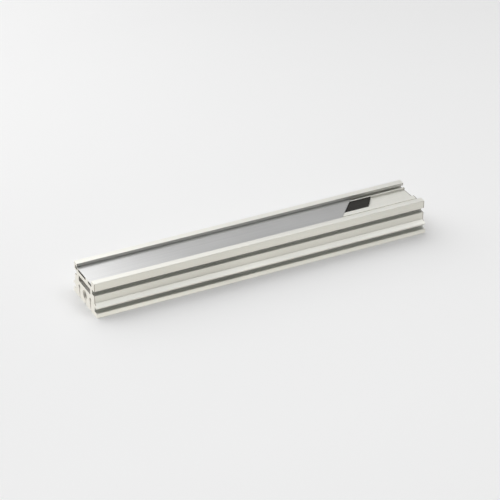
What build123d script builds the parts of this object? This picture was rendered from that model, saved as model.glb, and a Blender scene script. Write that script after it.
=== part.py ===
"""Aluminium extrusion for a linear measuring scale: a cut length with its magnetic tape and steel cover strip."""
import math
import os

from build123d import *

# The profile is one extruded piece, cut square at both ends. Two lips hold a flat steel strip down on a
# ledge and a thin rib, and the magnetic tape lies in the recess between those two. Each side has two
# guide grooves and a flared skirt. The underside has a screw channel between two narrow clip slots.
# X runs along the profile, Y across it, Z up. The origin is on the floor, in the middle of the footprint.
# All sizes are in millimetres.

# Outer section
length = 204.0
height = 20.0
top_width = 27.8
waist_width = 27.0
base_width = 32.6
foot_radius = 0.5
edge_radius = 0.25

# Side grooves: the shelf is the metal between the upper groove and the channel in the top
groove_depth = 3.0
groove_height = 2.8
lower_groove_floor = 2.7
shelf_thickness = 1.1

# Skirt: it flares from the waist out to the base, and ends in a short upright edge over the lower groove
skirt_top = 7.8
skirt_edge_height = 0.6

# Channel in the top: heights are taken down from the top face, widths in from the far lip
lip_width = 4.0
lip_thickness = 1.85
strip_slot_height = 0.55
recess_depth = 1.4
near_slot_reach = 1.0
far_slot_reach = 2.5
far_rib_inset = 0.65
far_rib_width = 1.1
recess_width = 10.1
near_ledge_width = 3.55

# Closed chamber in the web: its roof and floor are the metal left above and below it
chamber_width = 16.0
chamber_roof = 2.3
chamber_floor = 2.0
chamber_radius = 0.5

# Screw channel, open to the underside through a slit
screw_bore_radius = 2.8
screw_bore_centre = 5.7
screw_slit_width = 2.0

# Clip slots in the underside, each ending in a round bulb
clip_slot_width = 1.5
clip_slot_height = 7.0
clip_slot_spacing = 15.2
clip_bulb_radius = 1.1

# Steel cover strip: its clearances are what it has inside the slots under the near and far lips
strip_thickness = 0.4
strip_near_clearance = 0.1
strip_far_clearance = 1.2
strip_bare_length = 53.0
strip_cut_angle = 41.3

# Magnetic tape
tape_side_clearance = 0.05
tape_thickness = 1.3
tape_bare_length = 30.0
tape_cut_angle = 36.5

# Places that follow from the sizes above
slot_top = height - lip_thickness
ledge_top = slot_top - strip_slot_height
channel_floor = ledge_top - recess_depth
upper_groove_floor = channel_floor - shelf_thickness - groove_height
skirt_bottom = lower_groove_floor + groove_height
mouth_half = top_width / 2 - lip_width
near_slot_end = -mouth_half - near_slot_reach
far_slot_end = mouth_half + far_slot_reach
rib_far = mouth_half - far_rib_inset
recess_far = rib_far - far_rib_width
recess_near = recess_far - recess_width
ledge_near = recess_near - near_ledge_width
chamber_top = channel_floor - chamber_roof
chamber_bottom = screw_bore_centre + screw_bore_radius + chamber_floor


def block(y_low, y_high, z_low, z_high, mode):
    """A rectangle of the section between two places across the profile and two heights."""
    with Locations(((y_low + y_high) / 2, (z_low + z_high) / 2)):
        Rectangle(y_high - y_low, z_high - z_low, mode=mode)


def is_outer_corner(corner):
    """Corners of the outside, above the feet."""
    return abs(corner.X) > mouth_half and corner.Y > foot_radius


def is_lip_corner(corner):
    """Corners of the lips on both sides of the channel's mouth."""
    return math.isclose(abs(corner.X), mouth_half, abs_tol=edge_radius) and corner.Y > ledge_top + edge_radius


def is_ledge_corner(corner):
    """Corners along the tops of the ledge and the rib that carry the strip."""
    return math.isclose(corner.Y, ledge_top, abs_tol=edge_radius) and abs(corner.X) < mouth_half - edge_radius


with BuildPart() as profile:
    with BuildSketch(Plane.YZ.offset(-length / 2)) as section:
        with BuildLine() as outline:
            Polyline(
                (0, 0),
                (base_width / 2, 0),
                (base_width / 2, lower_groove_floor),
                (base_width / 2 - groove_depth, lower_groove_floor),
                (base_width / 2 - groove_depth, skirt_bottom),
                (base_width / 2, skirt_bottom),
                (base_width / 2, skirt_bottom + skirt_edge_height),
                (waist_width / 2, skirt_top),
                (waist_width / 2, upper_groove_floor),
                (top_width / 2 - groove_depth, upper_groove_floor),
                (top_width / 2 - groove_depth, upper_groove_floor + groove_height),
                (top_width / 2, upper_groove_floor + groove_height),
                (top_width / 2, height),
                (0, height),
            )
            mirror(about=Plane.YZ)
        make_face()
        fillet(section.vertices().filter_by(is_outer_corner), radius=edge_radius)
        feet = section.vertices().group_by(Axis.Y)[0].sort_by(Axis.X)
        fillet([feet[0], feet[-1]], radius=foot_radius)

        # Channel: the mouth between the lips, then the slots under the lips, the ledge and the rib
        block(-mouth_half, mouth_half, channel_floor, height, Mode.SUBTRACT)
        block(near_slot_end, 0, ledge_top, slot_top, Mode.SUBTRACT)
        block(0, far_slot_end, channel_floor, slot_top, Mode.SUBTRACT)
        block(ledge_near, recess_near, channel_floor, ledge_top, Mode.ADD)
        block(recess_far, rib_far, channel_floor, ledge_top, Mode.ADD)
        fillet(section.vertices().filter_by(is_lip_corner), radius=edge_radius)
        fillet(section.vertices().filter_by(is_ledge_corner), radius=edge_radius)

        # Openings in the web and the underside
        with Locations((0, (chamber_bottom + chamber_top) / 2)):
            RectangleRounded(chamber_width, chamber_top - chamber_bottom, chamber_radius, mode=Mode.SUBTRACT)
        with Locations((0, screw_bore_centre)):
            Circle(screw_bore_radius, mode=Mode.SUBTRACT)
        block(-screw_slit_width / 2, screw_slit_width / 2, 0, screw_bore_centre, Mode.SUBTRACT)
        for side in (-1, 1):
            slot_y = side * clip_slot_spacing / 2
            block(slot_y - clip_slot_width / 2, slot_y + clip_slot_width / 2, 0, clip_slot_height, Mode.SUBTRACT)
            with Locations((slot_y, clip_slot_height)):
                Circle(clip_bulb_radius, mode=Mode.SUBTRACT)
    extrude(amount=length)

profile.part.label = "extruded_profile"


def cut_end(bare_length, cut_angle, band_width):
    """Where a band's slanted right end meets its two edges: the near edge stops the bare length short."""
    near_end = length / 2 - bare_length
    return near_end, near_end + band_width * math.tan(math.radians(cut_angle))


tape_near = recess_near + tape_side_clearance
tape_far = recess_far - tape_side_clearance
tape_near_end, tape_far_end = cut_end(tape_bare_length, tape_cut_angle, tape_far - tape_near)

with BuildPart() as tape:
    with BuildSketch(Plane.XY.offset(channel_floor)):
        with BuildLine():
            Polyline(
                (-length / 2, tape_near),
                (tape_near_end, tape_near),
                (tape_far_end, tape_far),
                (-length / 2, tape_far),
                close=True,
            )
        make_face()
    extrude(amount=tape_thickness)

tape.part.label = "magnetic_tape"

strip_near = near_slot_end + strip_near_clearance
strip_far = far_slot_end - strip_far_clearance
strip_near_end, strip_far_end = cut_end(strip_bare_length, strip_cut_angle, strip_far - strip_near)

with BuildPart() as strip:
    with BuildSketch(Plane.XY.offset(ledge_top)):
        with BuildLine():
            Polyline(
                (-length / 2, strip_near),
                (strip_near_end, strip_near),
                (strip_far_end, strip_far),
                (-length / 2, strip_far),
                close=True,
            )
        make_face()
    extrude(amount=strip_thickness)

strip.part.label = "cover_strip"

os.makedirs("parts", exist_ok=True)
for piece in (profile, tape, strip):
    export_step(piece.part, f"parts/{piece.part.label}.step")
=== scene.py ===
"""Looks of a cut length of aluminium guide extrusion with its magnetic tape and steel cover strip."""
import math

import bpy
from mathutils import Matrix, Vector


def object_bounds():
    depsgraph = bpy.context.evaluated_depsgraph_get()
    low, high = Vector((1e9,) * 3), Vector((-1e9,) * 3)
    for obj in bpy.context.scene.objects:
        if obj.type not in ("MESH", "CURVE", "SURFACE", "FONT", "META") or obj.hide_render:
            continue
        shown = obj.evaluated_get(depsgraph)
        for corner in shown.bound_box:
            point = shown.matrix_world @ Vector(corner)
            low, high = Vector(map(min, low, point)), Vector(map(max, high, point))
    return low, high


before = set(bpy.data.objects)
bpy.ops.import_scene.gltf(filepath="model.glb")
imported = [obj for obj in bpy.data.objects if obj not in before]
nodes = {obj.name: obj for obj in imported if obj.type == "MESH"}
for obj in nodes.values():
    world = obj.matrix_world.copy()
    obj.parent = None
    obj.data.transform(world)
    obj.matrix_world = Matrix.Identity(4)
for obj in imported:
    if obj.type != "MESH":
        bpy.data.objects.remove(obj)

MM = 0.001
cad_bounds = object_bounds()
floor_level = cad_bounds[0][2]
half_length = cad_bounds[1][0]

# Camera: a long lens from the near left side, fitted to the edges in the photograph. Angles are in degrees.
VIEW_YAW = 26.63
VIEW_PITCH = 30.48
VIEW_ROLL = 0.05
VIEW_LENS = 141.2
VIEW_AIM_MM = (-4.2, -3.7, 10.0)
VIEW_DISTANCE = 1.091
VIEW_CLIP_START = 0.05
SENSOR_WIDTH = 36.0

# Sky: an even part and broad patches, six in a high ring and two low down. Each has an azimuth from +Y
# towards +X, an elevation, a sharpness and a strength. The camera itself sees a plain pale grey.
SKY_EVEN = 0.18
SKY_SEEN = (0.87, 0.87, 0.87, 1)
SKY_PATCHES = (
    (0, 62, 28, 1.8),
    (30, 58, 25, 1.4),
    (100, 66, 25, 1.65),
    (130, 62, 25, 1.25),
    (270, 60, 25, 1.5),
    (315, 58, 25, 1.65),
    (0, 20, 10, 0.35),
    (315, 20, 10, 1.0),
)

# Softbox behind the left end: it is near, so it shades off along the bright strip
SOFTBOX_PLACE = (-20, 35)
SOFTBOX_DISTANCE = 0.5
SOFTBOX_SIZE = (0.5, 0.3)
SOFTBOX_POWER = 0.4

# Floor: its greys from front to back, and the white sheet that the metal mirrors, a painted reflection that
# glows for glossy rays only and fades from left to right like light falling off
FLOOR_SIZE = 6.0
FLOOR_ROUGHNESS = 0.9
FLOOR_GREYS = (0.96, 0.9, 0.85)
FLOOR_STOPS_MM = (-150.0, 150.0, 330.0)
SHEET_COLOURS = ((1.0, 0.98, 0.93, 1), (0.8, 0.79, 0.76, 1))
SHEET_STOPS_MM = (-80.0, 120.0)

# Finishes: colours run from the dark grains to the light ones, roughness from the lowest to the highest, and
# a pattern has its grains per metre along X, Y and Z
COAT_COLOURS = ((0.84, 0.835, 0.785, 1), (0.89, 0.885, 0.835, 1))
SAWN_COLOURS = ((0.86, 0.85, 0.81, 1), (0.92, 0.91, 0.87, 1))
# Painted shade: the grooves and the lips' inner faces are darker where little light reaches them
PAINTED_SHADE_COLOUR = (0.73, 0.735, 0.705, 1)
# Painted light: the hollows inside the extrusion are paler than the coat, though little light reaches them
HOLLOW_LIGHT_COLOUR = (0.95, 0.94, 0.91, 1)
# Painted shade along the sawn ends' edges
RIM_SHADE_COLOUR = (0.42, 0.4, 0.36, 1)
COAT_ROUGHNESS = (0.47, 0.53)
COAT_LINES = (3.0, 2600.0, 2600.0)
COAT_CLOUDS = (22.0, 90.0, 90.0)
SAW_MARKS = (1.0, 260.0, 4200.0)
STEEL_COLOURS = ((0.715, 0.715, 0.71, 1), (0.785, 0.785, 0.78, 1))
STEEL_ROUGHNESS = (0.28, 0.32)
STEEL_LINES = (9.0, 1500.0, 200.0)
STEEL_CLOUDS = (14.0, 60.0, 60.0)
RUBBER_COLOURS = ((0.011, 0.01, 0.008, 1), (0.019, 0.017, 0.013, 1))
RUBBER_ROUGHNESS = (0.58, 0.68)
RUBBER_SPECULAR = 0.35
RUBBER_GRAINS = (1500.0, 1500.0, 1500.0)
RUBBER_ROLLING = (12.0, 700.0, 700.0)

# Zones of the aluminium's section in millimetres: across from the middle, and up from the floor. The grooves
# and the lips' inner faces get painted shade, the hollows painted light, and a groove's painted shade fades
# out over its mouth.
UPPER_GROOVE_MOUTH = (12.9, 13.7)
UPPER_GROOVE_RISE = (12.2, 15.2)
LOWER_GROOVE_MOUTH = (15.3, 16.1)
LOWER_GROOVE_RISE = (2.6, 5.6)
LIP_FACES_ACROSS = (9.6, 10.0)
LIP_FACES_RISE = (17.7, 19.8)
HOLLOWS_ACROSS = (0.0, 9.0)
HOLLOWS_RISE = (0.1, 14.5)

# Painted shade on the long faces next to the sawn ends, in place of a shaded edge break, in millimetres: how
# far from the end it begins and where it is full, then its lowest and highest place
RIM_FADE = (0.55, 0.25)
RIM_RISE = (7.0, 19.8)

# A face turns into a sawn end as its normal's part along X goes from the first value to the second
END_NORMALS = (0.8, 0.9)


def direction(azimuth, elevation):
    """Unit vector towards an azimuth from +Y towards +X, and an elevation, both in degrees."""
    turn, tilt = math.radians(azimuth), math.radians(elevation)
    return Vector((math.sin(turn) * math.cos(tilt), math.cos(turn) * math.cos(tilt), math.sin(tilt)))


class Graph:
    """A node tree with short calls for adding and joining nodes."""

    def __init__(self, owner):
        owner.use_nodes = True
        self.tree = owner.node_tree

    def node(self, kind, **settings):
        made = self.tree.nodes.new(kind)
        for key, value in settings.items():
            setattr(made, key, value)
        return made

    def put(self, socket, value):
        """Sets a socket, or joins another node's socket to it."""
        if isinstance(value, bpy.types.NodeSocket):
            self.tree.links.new(value, socket)
        else:
            socket.default_value = value

    def surface(self, name, value):
        """Sets or joins one of the Principled shader's sockets."""
        self.put(self.tree.nodes["Principled BSDF"].inputs[name], value)

    def calculate(self, operation, *values):
        """A sum on one or two values."""
        made = self.node("ShaderNodeMath", operation=operation)
        for socket, value in zip(made.inputs, values):
            self.put(socket, value)
        return made.outputs[0]

    def choose_shader(self, factor, first, second):
        """Mixes two shaders' outputs."""
        made = self.node("ShaderNodeMixShader")
        for socket, value in zip(made.inputs, (factor, first, second)):
            self.put(socket, value)
        return made.outputs[0]

    def place(self, scale=(1.0, 1.0, 1.0)):
        """Place on the object in metres, stretched by a scale along each axis."""
        coordinates = self.node("ShaderNodeTexCoord")
        mapping = self.node("ShaderNodeMapping")
        self.put(mapping.inputs["Vector"], coordinates.outputs["Object"])
        self.put(mapping.inputs["Scale"], scale)
        return mapping.outputs["Vector"]

    def axes(self, vector):
        """A vector's X, Y and Z."""
        split = self.node("ShaderNodeSeparateXYZ")
        self.put(split.inputs[0], vector)
        return split.outputs

    def noise(self, grains, detail=3.0, roughness=0.6):
        """A noise pattern, from 0 to 1, with its grains per metre along each axis."""
        made = self.node("ShaderNodeTexNoise")
        self.put(made.inputs["Vector"], self.place(grains))
        self.put(made.inputs["Scale"], 1.0)
        self.put(made.inputs["Detail"], detail)
        self.put(made.inputs["Roughness"], roughness)
        return made.outputs["Fac"]

    def spread(self, value, low=0.0, high=1.0, from_low=0.3, from_high=0.7):
        """Carries a pattern over to a range of values."""
        made = self.node("ShaderNodeMapRange")
        self.put(made.inputs["Value"], value)
        self.put(made.inputs["From Min"], from_low)
        self.put(made.inputs["From Max"], from_high)
        self.put(made.inputs["To Min"], low)
        self.put(made.inputs["To Max"], high)
        return made.outputs["Result"]

    def fade(self, value, start, end):
        """0 up to the start, then rising to 1 at the end, both lengths in millimetres."""
        return self.spread(value, from_low=start * MM, from_high=end * MM)

    def within(self, value, low, high):
        """1 where a value lies between two lengths in millimetres."""
        return self.calculate("COMPARE", value, (low + high) / 2 * MM, (high - low) / 2 * MM)

    def blend(self, factor, first, second):
        """Mixes two colours."""
        made = self.node("ShaderNodeMix", data_type="RGBA")
        self.put(made.inputs[0], factor)
        self.put(made.inputs[6], first)
        self.put(made.inputs[7], second)
        return made.outputs[2]

    def mix(self, factor, first, second):
        """Mixes two values."""
        made = self.node("ShaderNodeMix", data_type="FLOAT")
        self.put(made.inputs[0], factor)
        self.put(made.inputs[2], first)
        self.put(made.inputs[3], second)
        return made.outputs[0]

    def bump(self, height, strength, depth_mm):
        """Raises a pattern on the Principled shader's surface."""
        made = self.node("ShaderNodeBump")
        self.put(made.inputs["Height"], height)
        self.put(made.inputs["Strength"], strength)
        self.put(made.inputs["Distance"], depth_mm * MM)
        self.surface("Normal", made.outputs["Normal"])


def end_face(graph):
    """1 on the sawn ends, 0 on the long faces."""
    facing = graph.axes(graph.node("ShaderNodeNewGeometry").outputs["Normal"])["X"]
    return graph.spread(graph.calculate("ABSOLUTE", facing), 0.0, 1.0, *END_NORMALS)


def groove(graph, across, up, mouth, rise):
    """1 inside a side groove, fading to 0 over its mouth."""
    outward = graph.fade(across, *mouth)
    inward = graph.calculate("SUBTRACT", 1.0, outward)
    return graph.calculate("MULTIPLY", inward, graph.within(up, *rise))


def zone(graph, across, up, width, rise):
    """1 in a rectangle of the section."""
    return graph.calculate("MULTIPLY", graph.within(across, *width), graph.within(up, *rise))


def coat_colour(graph, grain):
    """The coat, with painted shade in the grooves, on the lips' inner faces and next to the sawn ends, and
    painted light in the hollows.
    """
    along, sideways, up = graph.axes(graph.place())
    across = graph.calculate("ABSOLUTE", sideways)
    upper = groove(graph, across, up, UPPER_GROOVE_MOUTH, UPPER_GROOVE_RISE)
    lower = groove(graph, across, up, LOWER_GROOVE_MOUTH, LOWER_GROOVE_RISE)
    lips = zone(graph, across, up, LIP_FACES_ACROSS, LIP_FACES_RISE)
    # Painted shade in the grooves and on the lips' inner faces
    painted_shade = graph.calculate("MAXIMUM", graph.calculate("MAXIMUM", upper, lower), lips)
    # Painted light: paler in the hollows
    hollows = zone(graph, across, up, HOLLOWS_ACROSS, HOLLOWS_RISE)
    from_end = graph.calculate("SUBTRACT", half_length, graph.calculate("ABSOLUTE", along))
    # Painted shade on the long faces next to the sawn ends
    rim = graph.calculate("MULTIPLY", graph.fade(from_end, *RIM_FADE), graph.within(up, *RIM_RISE))
    colour = graph.blend(graph.spread(grain), *COAT_COLOURS)
    colour = graph.blend(painted_shade, colour, PAINTED_SHADE_COLOUR)
    colour = graph.blend(hollows, colour, HOLLOW_LIGHT_COLOUR)
    return graph.blend(rim, colour, RIM_SHADE_COLOUR)


def anodised_aluminium(material):
    """Clear satin anodising, with fine lines along the extrusion, and bare sawn ends with saw marks."""
    graph = Graph(material)
    ends = end_face(graph)
    lines = graph.noise(COAT_LINES, detail=4.0)
    saw = graph.noise(SAW_MARKS, detail=2.0)
    grain = graph.mix(ends, lines, saw)
    sawn = graph.blend(graph.spread(grain), *SAWN_COLOURS)
    graph.surface("Base Color", graph.blend(ends, coat_colour(graph, grain), sawn))
    graph.surface("Metallic", 1.0)
    graph.surface("Roughness", graph.spread(graph.noise(COAT_CLOUDS), *COAT_ROUGHNESS))
    graph.bump(grain, strength=0.05, depth_mm=0.02)


def rolled_steel(material):
    """Bright cold-rolled stainless strip, with its rolling lines along the length."""
    graph = Graph(material)
    lines = graph.noise(STEEL_LINES, detail=5.0)
    graph.surface("Base Color", graph.blend(graph.spread(lines), *STEEL_COLOURS))
    graph.surface("Metallic", 1.0)
    graph.surface("Roughness", graph.spread(graph.noise(STEEL_CLOUDS), *STEEL_ROUGHNESS))
    graph.bump(lines, strength=0.06, depth_mm=0.01)


def magnetic_rubber(material):
    """Dark brown, magnet-filled rubber tape with a matt skin."""
    graph = Graph(material)
    grains = graph.noise(RUBBER_GRAINS, detail=4.0)
    graph.surface("Base Color", graph.blend(graph.spread(grains), *RUBBER_COLOURS))
    graph.surface("Roughness", graph.spread(graph.noise(RUBBER_ROLLING), *RUBBER_ROUGHNESS))
    graph.surface("Specular IOR Level", RUBBER_SPECULAR)
    graph.bump(grains, strength=0.25, depth_mm=0.03)


def white_floor(material):
    """The camera sees a pale floor with the part's shadow. The metal mirrors a white sheet instead, a painted
    glow that fades from left to right.
    """
    graph = Graph(material)
    greys = [(grey, grey, grey, 1) for grey in FLOOR_GREYS]
    front, middle, back = FLOOR_STOPS_MM
    axes = graph.axes(graph.place())
    along, depth = axes["X"], axes["Y"]
    colour = graph.blend(graph.fade(depth, front, middle), greys[0], greys[1])
    graph.surface("Base Color", graph.blend(graph.fade(depth, middle, back), colour, greys[2]))
    graph.surface("Roughness", FLOOR_ROUGHNESS)
    graph.surface("Specular IOR Level", 0.0)
    # Painted reflection: for glossy rays the floor glows as a white sheet, fading from left to right
    sheet = graph.node("ShaderNodeEmission")
    graph.put(sheet.inputs["Color"], graph.blend(graph.fade(along, *SHEET_STOPS_MM), *SHEET_COLOURS))
    mirrored = graph.node("ShaderNodeLightPath").outputs["Is Glossy Ray"]
    ground = graph.tree.nodes["Principled BSDF"].outputs[0]
    both = graph.choose_shader(mirrored, ground, sheet.outputs[0])
    graph.put(graph.tree.nodes["Material Output"].inputs["Surface"], both)


def dress(piece, finish):
    """Gives a piece its finish, a function that fills in a new material of the same name."""
    material = bpy.data.materials.new(finish.__name__)
    finish(material)
    piece.data.materials.clear()
    piece.data.materials.append(material)


def make_floor():
    """The floor that the part lies on."""
    bpy.ops.mesh.primitive_plane_add(size=FLOOR_SIZE, location=(0, 0, floor_level))
    floor = bpy.context.object
    floor.name = "floor"
    dress(floor, white_floor)


def make_sky():
    """The object is lit by the even part and the patches, and the camera sees the plain grey."""
    world = bpy.data.worlds.new("studio")
    bpy.context.scene.world = world
    graph = Graph(world)
    view = graph.node("ShaderNodeTexCoord").outputs["Generated"]
    light = SKY_EVEN
    for azimuth, elevation, sharpness, strength in SKY_PATCHES:
        facing = graph.node("ShaderNodeVectorMath", operation="DOT_PRODUCT")
        graph.put(facing.inputs[0], view)
        graph.put(facing.inputs[1], direction(azimuth, elevation))
        lit_side = graph.calculate("MAXIMUM", facing.outputs["Value"], 0.0)
        patch = graph.calculate("MULTIPLY", graph.calculate("POWER", lit_side, sharpness), strength)
        light = graph.calculate("ADD", light, patch)
    lit = graph.tree.nodes["Background"]
    graph.put(lit.inputs["Color"], light)
    seen = graph.node("ShaderNodeBackground")
    graph.put(seen.inputs["Color"], SKY_SEEN)
    by_camera = graph.node("ShaderNodeLightPath").outputs["Is Camera Ray"]
    both = graph.choose_shader(by_camera, lit.outputs[0], seen.outputs[0])
    graph.put(graph.tree.nodes["World Output"].inputs["Surface"], both)


def make_softbox():
    """A rectangular lamp that faces the origin."""
    lamp = bpy.data.lights.new("softbox", "AREA")
    lamp.shape = "RECTANGLE"
    lamp.size, lamp.size_y = SOFTBOX_SIZE
    lamp.energy = SOFTBOX_POWER
    holder = bpy.data.objects.new("softbox", lamp)
    away = direction(*SOFTBOX_PLACE)
    holder.location = away * SOFTBOX_DISTANCE
    holder.rotation_euler = away.to_track_quat("Z", "Y").to_euler()
    bpy.context.scene.collection.objects.link(holder)


def make_camera():
    """The photograph's view: forward, right and up come from yaw, pitch and roll."""
    yaw, pitch, roll = (math.radians(angle) for angle in (VIEW_YAW, VIEW_PITCH, VIEW_ROLL))
    forward = Vector((math.sin(yaw) * math.cos(pitch), math.cos(yaw) * math.cos(pitch), -math.sin(pitch)))
    level = Vector((math.cos(yaw), -math.sin(yaw), 0))
    down = forward.cross(level)
    right = math.cos(roll) * level + math.sin(roll) * down
    up = math.sin(roll) * level - math.cos(roll) * down
    data = bpy.data.cameras.new("camera")
    data.sensor_width = SENSOR_WIDTH
    data.lens = VIEW_LENS
    data.clip_start = VIEW_CLIP_START
    camera = bpy.data.objects.new("camera", data)
    place = Vector(VIEW_AIM_MM) * MM - forward * VIEW_DISTANCE
    turn = Matrix((right, up, -forward)).transposed().to_4x4()
    camera.matrix_world = Matrix.Translation(place) @ turn
    bpy.context.scene.collection.objects.link(camera)
    bpy.context.scene.camera = camera


dress(nodes["extruded_profile"], anodised_aluminium)
dress(nodes["cover_strip"], rolled_steel)
dress(nodes["magnetic_tape"], magnetic_rubber)
make_floor()
make_sky()
make_softbox()
make_camera()
bpy.context.scene.view_settings.view_transform = "Standard"
